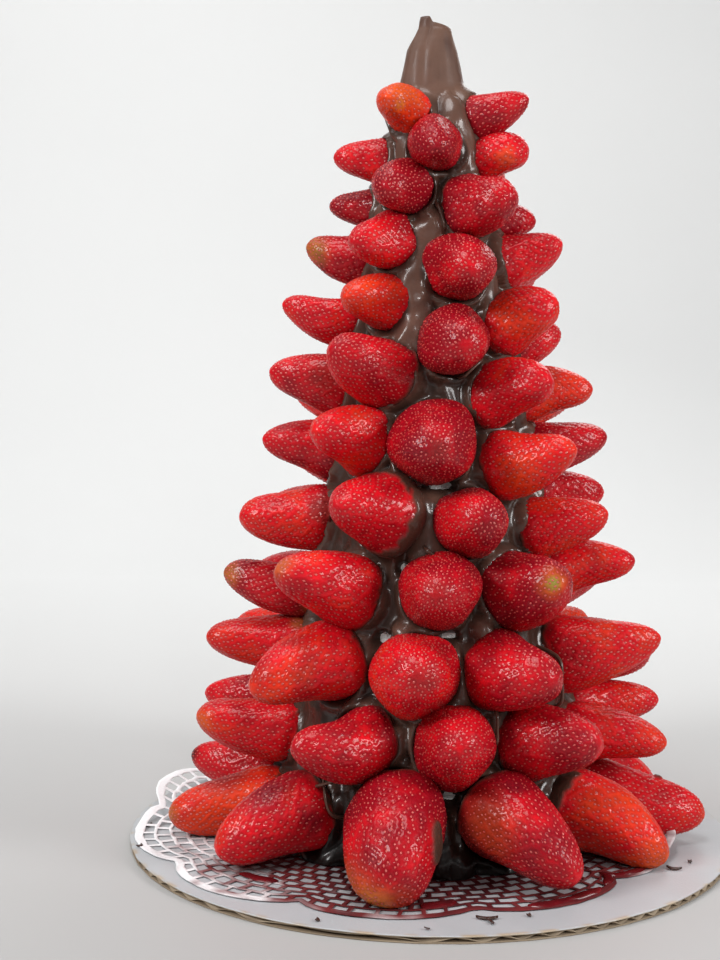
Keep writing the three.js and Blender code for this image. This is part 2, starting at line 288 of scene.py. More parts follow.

# Board: corrugated card with a white face, blushed by juice at the right and worn at its rim. Its wavy
# sheet is painted darker deeper inside the edge, as shade.
LINER = 0.55
DISC_COLUMNS = 360
DISC_SHARES = (0.2, 0.5, 0.8, 0.92)
DISC_RIM = (3, 1.8, 0.9)
DISC_BEVEL = 0.3
BACK_INSET = 0.4
FLUTE_COLUMNS = 840
FLUTE_ROWS = 5
FLUTE_PITCH = 6.5
FLUTE_DIRECTION = -15.0
FLUTE_DEPTH = 9.0
FLUTE_INSET = 0.7
FLUTE_THICKNESS = 0.35
BOARD_WHITE = (0.41, 0.425, 0.44)
BOARD_BLUSH = (0.43, 0.355, 0.36)
KRAFT_LIGHT = (0.40, 0.315, 0.22)
KRAFT_DARK = (0.20, 0.145, 0.095)
KRAFT_SHADE = (0.085, 0.062, 0.043)

# Chocolate crumbs on the board: place, length and turn, then the form of one.
CRUMBS = (
    (21.5, -110, 8, 0), (23, -113, 4.5, 115), (37, -106, 1.6, 40), (0, -121, 2, 150),
    (-39.5, -115, 2.2, 75), (97, -51.5, 6, -20), (105, -42.5, 1.6, 10), (-118, -36, 3, 60),
    (-120, -9, 5, 35), (113, 28, 6, 60), (-62, 104, 4, 20), (44, 112, 3, 130), (88, 80, 3.5, 75),
)
CRUMB_BROWN = (0.05, 0.026, 0.02)
CRUMB_STEPS = 7
CRUMB_GAP = 0.2
CRUMB_RISE = 0.5
CRUMB_WIDTH = 0.55
CRUMB_TIP = 0.2
CRUMB_THICKNESS = 0.4

# The studio, its colours linear: the floor, and the paler wall it sweeps up into, the floor painted paler
# towards the wall and at its front edge as painted light; the light of the room, how pale the room looks
# beyond the wall, and the lamps by place, aim, diameter and power.
FLOOR_TONE = (0.37, 0.365, 0.36)
WALL_TONE = (0.84, 0.845, 0.84)
STAGE_HALF = 1100
FLOOR_STEPS = (-1100, -600, -300, 0)
FLOOR_END = 700
SWEEP_RADIUS = 500
SWEEP_STEPS = 12
WALL_TOP = 1500
ROOM_LIGHT = 0.13
ROOM_TONE = 0.6
TREE_MIDDLE = (0, 0, 170)
LAMPS = {
    "overhead": ((-100, -220, 1200), TREE_MIDDLE, 500, 5.6),
    "window": ((-860, -640, 740), TREE_MIDDLE, 420, 9.6),
    "front": ((250, -1100, 620), TREE_MIDDLE, 140, 2.0),
    "side_fill": ((920, -470, 580), TREE_MIDDLE, 420, 8.0),
    "back": ((300, 650, 700), TREE_MIDDLE, 400, 1.8),
    "wall": ((-650, 300, 1300), (-750, 1100, 500), 900, 5.8),
}

# Materials that vary by noise: paint by its scale, darkest, lightest and detail; rough by its scale,
# smoothest and roughest; bump by its scale, distance, strength and detail; then sockets of the shader.
MATERIALS = {
    "strawberry_flesh": dict(
        paint=(420, 0.78, 1.2, 4), rough=(900, 0.28, 0.5), bump=(800, 0.0005, 0.6, 2),
        Subsurface_Weight=0.1, Subsurface_Radius=(1.0, 0.25, 0.15), Subsurface_Scale=0.003,
        Specular_IOR_Level=0.12, Coat_Weight=0.25, Coat_Roughness=0.05,
    ),
    "strawberry_seed": dict(paint=(1500, 0.8, 1.15), rough=(800, 0.3, 0.5), Coat_Weight=0.2),
    "foam": dict(bump=(700, 0.0008, 1, 2), Base_Color=(0.92, 0.91, 0.88, 1), Roughness=0.75),
    "berry_juice": dict(
        paint=(300, 0.75, 1.15), rough=(200, 0.12, 0.3),
        Specular_IOR_Level=0.5, Coat_Weight=0.3, Coat_Roughness=0.04,
    ),
    "lace_paper": dict(
        paint=(600, 0.88, 1.08), rough=(60, 0.45, 0.8), bump=(1800, 0.0003, 0.6), Specular_IOR_Level=0.2,
    ),
    "white_card": dict(paint=(40, 0.93, 1.05, 4), rough=(90, 0.35, 0.5), bump=(1100, 0.0002, 0.4)),
    "kraft_card": dict(paint=(300, 0.93, 1.05, 4), rough=(90, 0.7, 0.85), bump=(1100, 0.0002, 0.4)),
    "pale_floor": dict(paint=(3, 0.98, 1.02, 2), Roughness=0.6),
}

# The colour sockets of a Mix node, whose names are not unique.
MIX_A = 6
MIX_B = 7
MIX_RESULT = 2


def blend(a, b, share):
    """Numbers between a and b, by shares of b."""
    return a * (1 - share) + b * share


def mix(a, b, share):
    """Colours between a and b, by shares of b."""
    return blend(np.asarray(a, float), np.asarray(b, float), np.asarray(share, float)[..., None])


def smoothstep(low, high, value):
    share = np.clip((np.asarray(value, float) - low) / (high - low), 0, 1)
    return share * share * (3 - 2 * share)


def unit(vectors):
    vectors = np.asarray(vectors, float)
    return vectors / np.linalg.norm(vectors, axis=-1, keepdims=True)


def lengths(vectors):
    return np.linalg.norm(vectors, axis=-1)


def from_axis(points):
    return np.hypot(points[..., 0], points[..., 1])


def turns(count):
    """Even turns round a circle."""
    return 2 * pi * np.arange(count) / count


def outwards(azimuth):
    """The level direction at an azimuth in degrees from the front, positive to the right."""
    turn = np.radians(azimuth)
    return np.stack([np.sin(turn), -np.cos(turn), np.zeros_like(turn)], axis=-1)


def jitter(chance, spread, count):
    """Random numbers from -spread to spread."""
    return np.array([chance.uniform(-spread, spread) for _ in range(count)])


def noise_at(points, size, shift=0.0):
    """Smooth noise from -1 to 1 at each point, with features of about the given size."""
    places = np.asarray(points, float) / size + shift
    return np.array([noise.noise(Vector(place)) for place in places])


def uneven(points, weight, size, shift=0.0):
    """Factors about 1 that vary from point to point."""
    return 1 + weight * noise_at(points, size, shift)


def patches(points, low, high, size, shift=0.0):
    """Soft patches: 0 where noise is below low, 1 where it is above high."""
    return smoothstep(low, high, noise_at(points, size, shift))


def mottled(a, b, points, size):
    """Colours that wander between a and b."""
    return mix(a, b, 0.5 + 0.5 * noise_at(points, size))


def ridges(points, size, form):
    """Ridged noise at each point, with sizes along the axes."""
    places = points / np.array(size)
    return np.array([noise.ridged_multi_fractal(Vector(place), *form) for place in places])


def rings(rows, columns, start=0):
    """The numbers of points in closed rings, row by row, and of the point beside each."""
    corner = start + np.arange(rows * columns).reshape(rows, columns)
    return corner, np.roll(corner, -1, axis=1)


def quads(*corners):
    """Faces from the numbers of their four corners."""
    return np.stack(corners, axis=-1).reshape(-1, 4)


def sheet(rows, columns, start):
    """The faces of an open grid of points."""
    corner, _ = rings(rows, columns, start)
    return quads(corner[:-1, :-1], corner[1:, :-1], corner[1:, 1:], corner[:-1, 1:])


def vertex_normals(points, faces):
    """The normals of a mesh of triangles, at its points."""
    a, b, c = (points[corner] for corner in faces.T)
    across = np.cross(b - a, c - a)
    normals = np.zeros_like(points)
    for corner in faces.T:
        np.add.at(normals, corner, across)
    return unit(normals + 1e-12)


def new_object(name, points, faces, tint, materials):
    """A smooth mesh object from points in millimetres, with a colour at each point."""
    mesh = bpy.data.meshes.new(name)
    mesh.from_pydata((np.asarray(points) * MM).tolist(), [], [list(map(int, face)) for face in faces])
    for material in materials:
        mesh.materials.append(material)
    colours = np.ones((len(points), 4), np.float32)
    colours[:, :3] = tint
    mesh.color_attributes.new("tint", "FLOAT_COLOR", "POINT").data.foreach_set("color", colours.ravel())
    mesh.polygons.foreach_set("use_smooth", np.ones(len(mesh.polygons), bool))
    mesh.update()
    thing = bpy.data.objects.new(name, mesh)
    scene.collection.objects.link(thing)
    return thing


def new_piece(name, points, faces, tint, materials, replaced=()):
    """A mesh piece that rides on the tree."""
    piece = new_object(name, points, faces, tint, materials)
    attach(piece, "root")
    if replaced:
        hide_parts(*replaced)
    return piece


def thicken(piece, thickness, offset):
    """Makes a sheet solid: to its front for an offset of 1, to both sides for 0."""
    thick = piece.modifiers.new("thickness", "SOLIDIFY")
    thick.thickness = thickness * MM
    thick.offset = offset


class Shader:
    """A material under construction: a Principled shader and the nodes that feed it."""

    def __init__(self, name, **sockets):
        self.material = bpy.data.materials.new(name)
        self.material.use_nodes = True
        self.tree = self.material.node_tree
        self.principled = self.tree.nodes["Principled BSDF"]
        for socket, value in sockets.items():
            self.principled.inputs[socket.replace("_", " ")].default_value = value

    def node(self, kind, inputs, **settings):
        node = self.tree.nodes.new(kind)
        for setting, value in settings.items():
            setattr(node, setting, value)
        for socket, value in inputs.items():
            if isinstance(value, bpy.types.NodeSocket):
                self.tree.links.new(value, node.inputs[socket])
            else:
                node.inputs[socket].default_value = value
        return node

    def feed(self, socket, source):
        self.tree.links.new(source, self.principled.inputs[socket])

    def place(self):
        """The place on the piece, in the frame's metres."""
        return self.node("ShaderNodeTexCoord", {}).outputs["Object"]

    def noise(self, scale, detail=3.0):
        inputs = {"Vector": self.place(), "Scale": scale, "Detail": detail, "Roughness": 0.55}
        return self.node("ShaderNodeTexNoise", inputs).outputs["Fac"]

    def spread(self, value, low, high):
        """A value from 0 to 1 spread from low to high."""
        inputs = {"Value": value, "To Min": low, "To Max": high}
        return self.node("ShaderNodeMapRange", inputs).outputs["Result"]

    def paint(self, scale, dark, light, detail=3.0):
        """The piece's own colours, darker and lighter by noise."""
        tint = self.node("ShaderNodeAttribute", {}, attribute_name="tint").outputs["Color"]
        shade = self.spread(self.noise(scale, detail), dark, light)
        inputs = {"Factor": 1, MIX_A: tint, MIX_B: shade}
        shaded = self.node("ShaderNodeMix", inputs, data_type="RGBA", blend_type="MULTIPLY")
        self.feed("Base Color", shaded.outputs[MIX_RESULT])

    def roughen(self, scale, smooth, rough):
        """Roughness that varies by noise."""
        self.feed("Roughness", self.spread(self.noise(scale), smooth, rough))

    def bump(self, scale, distance, strength, detail=3.0):
        """Fine bumps by noise."""
        inputs = {"Height": self.noise(scale, detail), "Distance": distance, "Strength": strength}
        self.feed("Normal", self.node("ShaderNodeBump", inputs).outputs["Normal"])


def new_material(name, paint=(), rough=(), bump=(), **sockets):
    """A material from its values in MATERIALS."""
    shader = Shader(name, **sockets)
    for vary, values in ((shader.paint, paint), (shader.roughen, rough), (shader.bump, bump)):
        if values:
            vary(*values)
    return shader.material


def chocolate_material():
    """Wet-looking chocolate that is duller on the peak."""
    shader = Shader("chocolate", Specular_IOR_Level=0.28, Coat_Roughness=0.07)
    shader.paint(scale=160, dark=0.75, light=1.25, detail=5)
    height = shader.node("ShaderNodeSeparateXYZ", {"Vector": shader.place()}).outputs["Z"]
    reach = {"Value": height, "From Min": (CORE_TOP - 2) * MM, "From Max": (CORE_TOP + 8) * MM}
    on_peak = shader.node("ShaderNodeMapRange", reach).outputs["Result"]
    terms = {0: shader.spread(shader.noise(240), 0.2, 0.42), 1: shader.spread(on_peak, 0, 0.2)}
    shader.feed("Roughness", shader.node("ShaderNodeMath", terms, operation="ADD").outputs["Value"])
    shader.feed("Coat Weight", shader.spread(on_peak, 0.25, 0.04))
    shader.bump(scale=260, distance=0.0006, strength=0.35, detail=2)
    return shader.material


def corner_points(node):
    """A solid's corners in millimetres, each once, and the pairs of corners that share an edge."""
    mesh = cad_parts[node].data
    places = np.empty(3 * len(mesh.vertices))
    mesh.vertices.foreach_get("co", places)
    edges = np.empty(2 * len(mesh.edges), np.int32)
    mesh.edges.foreach_get("vertices", edges)
    corners, index = np.unique(np.round(places.reshape(-1, 3) / MM, 3), axis=0, return_inverse=True)
    edges = np.sort(index.ravel()[edges].reshape(-1, 2), axis=1)
    return corners, np.unique(edges, axis=0)


# Sizes read from the solids: the core, the coat's thickness at its foot, and the doily.
CORE_CORNERS, _ = corner_points("core")
CORE_FOOT = CORE_CORNERS[:, 2].min()
CORE_TOP = CORE_CORNERS[:, 2].max()
CORE_BASE_RADIUS = from_axis(CORE_CORNERS).max()
CORE_TOP_RADIUS = from_axis(CORE_CORNERS[CORE_CORNERS[:, 2] > CORE_TOP - 1]).max()
COAT_CORNERS, COAT_EDGES = corner_points("chocolate_coat")
COAT_FOOT = COAT_CORNERS[(COAT_CORNERS[:, 2] < CORE_FOOT + 0.1) & (COAT_CORNERS[:, 1] < 0)]
COAT_FOOT_RADII = from_axis(COAT_FOOT)
COAT_THICKNESS = np.median(COAT_FOOT_RADII[COAT_FOOT_RADII > CORE_BASE_RADIUS + 1]) - CORE_BASE_RADIUS
DOILY_LOW, DOILY_HIGH = (np.array(corner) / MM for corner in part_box("doily"))
DOILY_TOP = DOILY_HIGH[2]
DOILY_CENTRE = np.array([*(DOILY_LOW + DOILY_HIGH)[:2] / 2, DOILY_LOW[2]])
DOILY_RADIUS = (DOILY_HIGH - DOILY_LOW)[:2].max() / 2


def core_radius(height):
    share = (np.asarray(height) - CORE_FOOT) / (CORE_TOP - CORE_FOOT)
    return CORE_BASE_RADIUS + (CORE_TOP_RADIUS - CORE_BASE_RADIUS) * share


def above_coat(points):
    """How far points stand out of the plain coat."""
    return from_axis(points) - core_radius(points[..., 2]) - COAT_THICKNESS


def stands_clear(points):
    """Which corners of berries stand clear of the coat and of the doily."""
    return (above_coat(points) > CLEAR_OF_COAT) & (points[:, 2] > DOILY_TOP + CLEAR_OF_DOILY)


@dataclass
class Berry:
    """A strawberry by its seat in the coat, its direction and its size."""

    name: str
    seat: np.ndarray
    axis: np.ndarray
    length: float
    width: float
    near: bool

    @property
    def label(self):
        """Its row and letter, or its number on the far side."""
        return self.name.removeprefix("berry_")

    def across(self):
        """Two directions across the axis."""
        side = unit(np.cross((0, 0, 1), self.axis))
        return side, np.cross(self.axis, side)


def read_berry(name, tip, body, near):
    """A berry from its tip and its solid's other corners: those next to the tip lie square to its axis."""
    order = np.argsort(lengths(body - tip))
    ring = body[order[1 : RING_CORNERS + 1]]
    axis = np.linalg.svd(ring - ring.mean(axis=0))[2][2]
    axis = axis * np.sign(axis @ (tip - ring.mean(axis=0)))
    line = tip - LENGTHS_TRIED[:, None] * axis
    length = LENGTHS_TRIED[np.argmax(above_coat(line) < -SUNK)]
    seat = tip - length * axis
    share = (body - seat) @ axis / length
    radius = lengths(body - seat - (share * length)[:, None] * axis)
    sides = (share > 0.3) & (share < 0.96)
    width = 2 * np.median(radius[sides] / berry_girth(share[sides], USUAL_TAPER))
    return Berry(name, seat, axis, length, width, near)


def tip_of(corners):
    """The corner of a berry that lies farthest from the coat below its middle."""
    root = corners.mean(axis=0)
    root[:2] *= 1 - above_coat(root) / from_axis(root)
    return corners[np.argmax(lengths(corners - root))]


def near_berries():
    berries = []
    for name in sorted(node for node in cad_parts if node.startswith("berry_")):
        corners, _ = corner_points(name)
        berries.append(read_berry(name, tip_of(corners), corners[stands_clear(corners)], True))
    return berries


def far_berries():
    """The berries fused to the coat's solid: each is found by its tip, the outermost of its corners."""
    reach = from_axis(COAT_CORNERS)
    farthest = np.zeros(len(reach))
    np.maximum.at(farthest, COAT_EDGES[:, 0], reach[COAT_EDGES[:, 1]])
    np.maximum.at(farthest, COAT_EDGES[:, 1], reach[COAT_EDGES[:, 0]])
    tips = COAT_CORNERS[(above_coat(COAT_CORNERS) > TIP_REACH) & (reach > farthest)]
    tips = tips[np.lexsort((np.arctan2(tips[:, 0], -tips[:, 1]), np.round(tips[:, 2] / ROW_HEIGHT)))]
    outer = COAT_CORNERS[stands_clear(COAT_CORNERS)]
    flat = unit(outer[:, :2])[:, None] - unit(tips[:, :2])[None]
    sideways = lengths(flat) * from_axis(outer)[:, None]
    owner = np.argmin(np.hypot(sideways, outer[:, None, 2] - tips[None, :, 2]), axis=1)
    return [
        read_berry(f"berry_far_{number + 1:02d}", tip, outer[owner == number], False)
        for number, tip in enumerate(tips)
    ]


def berry_outline(share, taper):
    """A berry's thickness along its length: a round shoulder, nearly straight sides and a round tip."""
    rise = np.clip(1 - share / SHOULDER, 0, 1)
    shoulder = np.sqrt(1 - (1 - STEM_END**2) * rise**2)
    return shoulder * (1 - taper * share) * np.sqrt(np.clip(1 - share**BLUNTNESS, 0, 1))


def berry_girth(share, taper):
    """How thick a berry is along its length, up to 1."""
    return berry_outline(share, taper) / berry_outline(np.linspace(0, 0.5, 51), taper).max()


@functools.lru_cache(maxsize=None)
def geodesic(frequency):
    """A unit sphere of even triangles with its poles on the Z axis."""
    ball = bmesh.new()
    bmesh.ops.create_icosphere(ball, subdivisions=1, radius=1)
    points, faces = [], []
    for face in ball.faces:
        a, b, c = (np.array(vertex.co) for vertex in face.verts)
        number = {}
        for i in range(frequency + 1):
            for j in range(frequency + 1 - i):
                number[i, j] = len(points)
                points.append((a * (frequency - i - j) + b * i + c * j) / frequency)
        for i, j in number:
            if i + j < frequency:
                faces.append((number[i, j], number[i + 1, j], number[i, j + 1]))
            if i + j < frequency - 1:
                faces.append((number[i + 1, j], number[i + 1, j + 1], number[i, j + 1]))
    ball.free()
    places, index = np.unique(np.round(unit(points), 6), axis=0, return_inverse=True)
    return places, index.ravel()[np.array(faces)]


class BerrySkin:
    """The smooth outline of a berry and its uneven girth, as points by share of length and turn."""

    def __init__(self, berry, chance):
        self.berry = berry
        self.taper = TAPERS.get(berry.label, USUAL_TAPER + chance.uniform(-TAPER_SPREAD, TAPER_SPREAD))
        self.shares = np.linspace(1, 0, OUTLINE_STEPS)
        radius = berry_girth(self.shares, self.taper) * berry.width / 2
        step = np.hypot(np.diff(radius), np.diff(self.shares) * berry.length)
        self.arc = np.concatenate([[0], np.cumsum(step)])
        ring = (radius[1:] + radius[:-1]) * pi * step
        self.area = np.concatenate([[0], np.cumsum(ring)])
        self.waves = [
            (count, weight, chance.uniform(0, 6.3), chance.uniform(-2, 2))
            for count, weight in SKIN_WAVES
        ]
        self.bend = jitter(chance, BEND, 2) * berry.length

    def at_arc(self, part):
        """The share of length at a part of the outline, from 0 at the tip to 1 at the stem end."""
        return np.interp(part * self.arc[-1], self.arc, self.shares)

    def at_area(self, part):
        """The share of length at a part of the skin's area from the tip."""
        return np.interp(part * self.area[-1], self.area, self.shares)

    def points(self, share, turn):
        """Points in the frame."""
        berry = self.berry
        radius = berry_girth(share, self.taper) * berry.width / 2
        for count, weight, phase, twist in self.waves:
            radius = radius * (1 + weight * np.cos(count * turn + phase + twist * share))
        side, up = berry.across()
        sway = np.sin(pi * share) ** 2
        x = radius * np.cos(turn) + self.bend[0] * sway
        y = radius * np.sin(turn) + self.bend[1] * sway
        along = (share * berry.length)[:, None] * berry.axis
        return berry.seat + x[:, None] * side + y[:, None] * up + along


def flesh_colours(skin, ripeness_and_light, chance, points, share, dimple):
    """The skin's colours, with bruises, spots, painted shade on the shoulder and in the dimples, and how
    far chocolate covers it.
    """
    berry = skin.berry
    ripe_and_painted_light = ripeness_and_light
    for weight, size in RIPENESS_PATCHES:
        ripe_and_painted_light = ripe_and_painted_light + weight * noise_at(points, size, chance.uniform(0, 50))
    # Painted shade: the skin is darker towards the stem end.
    ripe_and_painted_light = np.clip(ripe_and_painted_light + SHOULDER_PAINTED_SHADE * smoothstep(0.4, 0.05, share), 0, 1)
    colours = np.where(
        (ripe_and_painted_light < 0.5)[:, None],
        mix(FLESH_ORANGE, FLESH_RED, np.clip(2 * ripe_and_painted_light, 0, 1)),
        mix(FLESH_RED, FLESH_DARK, np.clip(2 * ripe_and_painted_light - 1, 0, 1)),
    )
    bruised = BRUISES.get(berry.label, chance.uniform(0.0, 0.4))
    blotches = patches(points, low=0.1, high=0.6, size=11, shift=chance.uniform(60, 90))
    colours = mix(colours, BRUISE, bruised * blotches)
    usual = () if berry.near else ((0.999, 0, chance.choice(FAR_TIP_RADII), "orange", 0.5),)
    dipped = DIPPED.get(berry.label, DIPPED_SHARE)
    covered = smoothstep(dipped + 0.02, dipped - 0.01, share + 0.07 * noise_at(points, 3.5))
    for along, turn, radius, colour, strength in SPOTS.get(berry.label, usual):
        middle = skin.points(np.array([along]), np.radians([turn]))
        away = lengths(points - middle) + 0.3 * radius * noise_at(points, 0.8 * radius)
        weight = strength * smoothstep(1.35 * radius, 0.25 * radius, away)
        if colour == "cocoa":
            covered = np.maximum(covered, smoothstep(0.3, 0.6, weight))
        else:
            colours = mix(colours, MARKS[colour], weight)
    # Painted shade: the skin's colour is darker in the dimples.
    colours = colours * (1 - DIMPLE_SHADE * dimple[:, None])
    return mix(colours, CHOCOLATE_DARK, covered), covered


def seed_places(skin, chance):
    """Where a berry's seeds sit: shares of its length and turns about it."""
    count = int(skin.area[-1] / (SEED_PATCH * chance.uniform(*SEED_SPACING) ** 2))
    number = np.arange(count) + 0.5
    share = skin.at_area((number / count) ** SEED_CROWDING)
    turn = number * GOLDEN_ANGLE + jitter(chance, SEED_JITTER, count)
    shown = (share > 0.1) & (share < 0.99)
    return share[shown], turn[shown]


def nearest_places(points, places):
    """The number of the place nearest to each point, and how far off it is."""
    tree = KDTree(len(places))
    for index, place in enumerate(places):
        tree.insert(place, index)
    tree.balance()
    found = [tree.find(point) for point in points]
    return np.array([index for _, index, _ in found]), np.array([away for _, _, away in found])


def seed_meshes(skin, ripeness_and_light, chance, share, turn):
    """Drop-shaped seeds lying along the berry in their dimples: points, faces and colours."""
    here = skin.points(share, turn)
    ahead = skin.points(np.clip(share + 0.01, 0, 0.9999), turn)
    aside = skin.points(share, turn + 0.02)
    along = unit(ahead - here)
    normal = unit(np.cross(aside - here, along))
    across = np.cross(normal, along)
    base = here - (SEED_DEPTH if skin.berry.near else FAR_SEED_DEPTH) * normal
    size = np.array([chance.uniform(0.85, 1.15) for _ in share])[:, None]
    points = []
    for angle in turns(SEED_CORNERS):
        lengthwise = 0.5 * SEED_LENGTH * cos(angle)
        sideways = 0.5 * SEED_WIDTH * sin(angle) * (1 - SEED_POINT * cos(angle))
        points.append(base + size * (lengthwise * along + sideways * across))
    points.append(base + size * SEED_HEIGHT * normal)
    points = np.stack(points, axis=1).reshape(-1, 3)
    start = (SEED_CORNERS + 1) * np.arange(len(share))[:, None, None]
    fan = np.array([(side, (side + 1) % SEED_CORNERS, SEED_CORNERS) for side in range(SEED_CORNERS)])
    usual = 0.4 + 0.5 * ripeness_and_light + chance.uniform(-0.15, 0.15)
    red = np.clip([usual + chance.uniform(-0.5, 0.4) for _ in share], 0, 1)
    colours = np.repeat(mix(SEED_PALE, SEED_RED, red), SEED_CORNERS + 1, axis=0)
    return points, (start + fan[None]).reshape(-1, 3), colours


def make_berry(berry, materials):
    """A strawberry's skin, pressed in at its seeds and smeared with chocolate, and the seeds on it."""
    chance = random.Random(berry.name)
    skin = BerrySkin(berry, chance)
    # Near berries' ripeness also holds painted light: the outer ones lighter, the middle ones darker.
    ripeness_and_light = RIPENESS_AND_PAINTED_LIGHT.get(berry.label, chance.uniform(0.25, 0.75))
    edge = NEAR_EDGE if berry.near else FAR_EDGE
    frequency = round(sqrt(skin.area[-1] / (ICOSPHERE_FACES * EVEN_TRIANGLE_AREA)) / edge)
    ball, faces = geodesic(frequency)
    share = skin.at_arc(np.arccos(np.clip(ball[:, 2], -1, 1)) / pi)
    points = skin.points(share, np.arctan2(ball[:, 1], ball[:, 0]))

    seed_share, seed_turn = seed_places(skin, chance)
    places = skin.points(seed_share, seed_turn)
    nearest, away = nearest_places(points, places)
    dimple = np.exp(-((away / DIMPLE_WIDTH) ** 2))
    colours, covered = flesh_colours(skin, ripeness_and_light, chance, points, share, dimple)
    rise = SMEAR_THICKNESS * covered - DIMPLE_DEPTH * dimple * (1 - covered)
    points = points + vertex_normals(points, faces) * rise[:, None]
    points[:, 2] = np.maximum(points[:, 2], DOILY_TOP + RESTING_GAP)
    shown = (share > BURIED_SHARE) | (above_coat(points) > -1)
    faces = faces[shown[faces].any(axis=1)]

    smeared = np.zeros(len(places))
    np.maximum.at(smeared, nearest, np.where(away < DIMPLE_WIDTH, covered, 0))
    clear = (places[:, 2] > DOILY_TOP + 2 * SEED_WIDTH) & (smeared < 0.5)
    seeds = seed_meshes(skin, ripeness_and_light, chance, seed_share[clear], seed_turn[clear])
    seed_points, seed_faces, seed_colours = seeds
    piece = new_piece(
        f"strawberry_{berry.label}" if berry.near else berry.name,
        np.concatenate([points, seed_points]),
        np.concatenate([faces, seed_faces + len(points)]),
        np.concatenate([colours, seed_colours]),
        materials,
        [berry.name] if berry.near else ["chocolate_coat"],
    )
    slots = np.repeat([0, 1], [len(faces), len(seed_faces)])
    piece.data.polygons.foreach_set("material_index", slots.astype(np.int32))


def coat_surface(turn, height):
    """The plain coat and the faceted peak above it: radius by turn and height."""
    cone = core_radius(np.minimum(height, CORE_TOP)) + COAT_THICKNESS
    half = np.interp(height, PEAK_HEIGHTS, PEAK_HALF_WIDTHS)
    total = np.zeros_like(turn)
    for azimuth, size in PEAK_FLATS:
        facing = np.clip(np.cos(turn - radians(azimuth)), 0, 1)
        total = total + (facing / (half * size)) ** PEAK_SHARPNESS
    faceted = total ** (-1 / PEAK_SHARPNESS)
    azimuth, half_width, depth = PEAK_CREASE
    aside = (np.mod(np.degrees(turn) - azimuth + 180, 360) - 180) / half_width
    faceted = faceted - depth * np.exp(-(aside**2))
    return blend(cone, faceted, smoothstep(CORE_TOP - 12, CORE_TOP + 6, height))


def lips(points, berries):
    """How far the chocolate stands up in lips round the berries, and the gap to the nearest berry."""
    raised = np.zeros(len(points))
    gap = np.full(len(points), np.inf)
    for berry in berries:
        chance = random.Random(berry.name + " lip")
        offset = points - berry.seat
        along = offset @ berry.axis
        beside = lengths(offset) < 1.1 * berry.width
        close = np.nonzero((np.abs(along) < LIP_REACH) & beside)[0]
        lateral = lengths(offset[close] - along[close, None] * berry.axis)
        share = np.clip(along[close] / berry.length, 0, 0.34)
        girth = berry_girth(share, USUAL_TAPER) * berry.width / 2
        lumps = uneven(points[close], weight=0.4, size=8, shift=chance.uniform(0, 40))
        height = LIP_HEIGHT * chance.uniform(0.8, 1.25) * lumps
        width = chance.uniform(*LIP_WIDTH)
        width = width * uneven(points[close], weight=0.45, size=13, shift=chance.uniform(0, 40))
        gap[close] = np.minimum(gap[close], lateral - girth)
        beyond = lateral - girth - LIP_GAP
        width = np.where(beyond < 0, 0.7 * width, width)
        raised[close] += np.clip(height * np.exp(-((beyond / width) ** 2)), 0, None) ** 3
    return np.cbrt(raised), gap


def smears(points, turn):
    """How far the thick smears stand up: each is a round-ended stroke with a lumpy top."""
    raised = np.zeros(len(points))
    lumps = uneven(points, weight=0.25, size=9, shift=17)
    for azimuth, level, to_azimuth, to_level, half, thick in SMEARS:
        middle = radians((azimuth + to_azimuth) / 2)
        reach = core_radius((level + to_level) / 2) + COAT_THICKNESS
        aside = (np.mod(turn - middle + pi, 2 * pi) - pi) * reach
        stroke = np.array([radians(to_azimuth - azimuth) * reach, to_level - level])
        offset = np.stack([aside, points[:, 2] - (level + to_level) / 2], axis=1)
        along = np.clip(offset @ stroke / (stroke @ stroke), -0.5, 0.5)
        away = lengths(offset - along[:, None] * stroke) / (SMEAR_SPREAD * half)
        raised = np.maximum(raised, thick * lumps * np.sqrt(np.clip(1 - away**2, 0, 1)))
    return raised


def bareness(turn, height, reach):
    """From 0 to 1, where the white core shows, and the coat round it up to a reach in spot radii."""
    bare = np.zeros_like(turn)
    for azimuth, level, width, depth in BARE_SPOTS:
        sideways = np.sin(turn - radians(azimuth)) * core_radius(level)
        away = np.hypot(sideways / (0.5 * width), (height - level) / (0.5 * depth))
        facing = np.cos(turn - radians(azimuth)) > 0
        bare = np.maximum(bare, facing * smoothstep(reach, BARE_INSIDE, away))
    return bare


def peak_top(x):
    """The height of the peak's top from left to right: the spike and the sloping shoulder."""
    shoulder = SHOULDER_TOP - SHOULDER_FALL * np.clip(x - SPIKE_EDGE, 0, None)
    return blend(SPIKE_TOP, shoulder, smoothstep(SPIKE_EDGE - 1.2, SPIKE_EDGE + 0.6, x))


def peak_cap(top):
    """Rings of points, and a last point, that close the peak over its top ring."""
    middle = np.array([PEAK_MIDDLES[-1], 0, 0])
    caps = []
    for part in CAP_RINGS:
        ring = top + (middle - top) * part
        ring[:, 2] = blend(top[:, 2], peak_top(ring[:, 0]), smoothstep(0, CAP_RIM, part))
        caps.append(ring)
    middle[2] = peak_top(middle[0])
    return [*caps, middle[None]]


def coat_tint(points, gap):
    """Chocolate with painted shade in crevices, along the berries and at its foot, painted light on its
    ridges, and plainer on the peak.
    """
    # Painted shade and light: darker in crevices and lighter on ridges, darker towards the foot, and
    # darker along the berries.
    shade = blend(CREVICE_SHADE, RIDGE_SHADE, smoothstep(-0.5, 4.8, above_coat(points)))
    shade = shade * blend(FOOT_SHADE, 1, smoothstep(8, 50, points[:, 2]))
    shade[: len(gap)] *= blend(BERRY_CONTACT_PAINTED_SHADE, 1, smoothstep(0, BERRY_CONTACT_SHADE_REACH, gap))
    tint = mottled(CHOCOLATE_DARK, CHOCOLATE_LIGHT, points, 22) * shade[:, None]
    streaks = patches(points * (1, 1, 0.4), low=0.0, high=0.7, size=5, shift=9)
    peak = mix(CHOCOLATE_PEAK, CHOCOLATE_DARK, streaks)
    return mix(tint, peak, smoothstep(CORE_TOP - 8, CORE_TOP + 4, points[:, 2]))


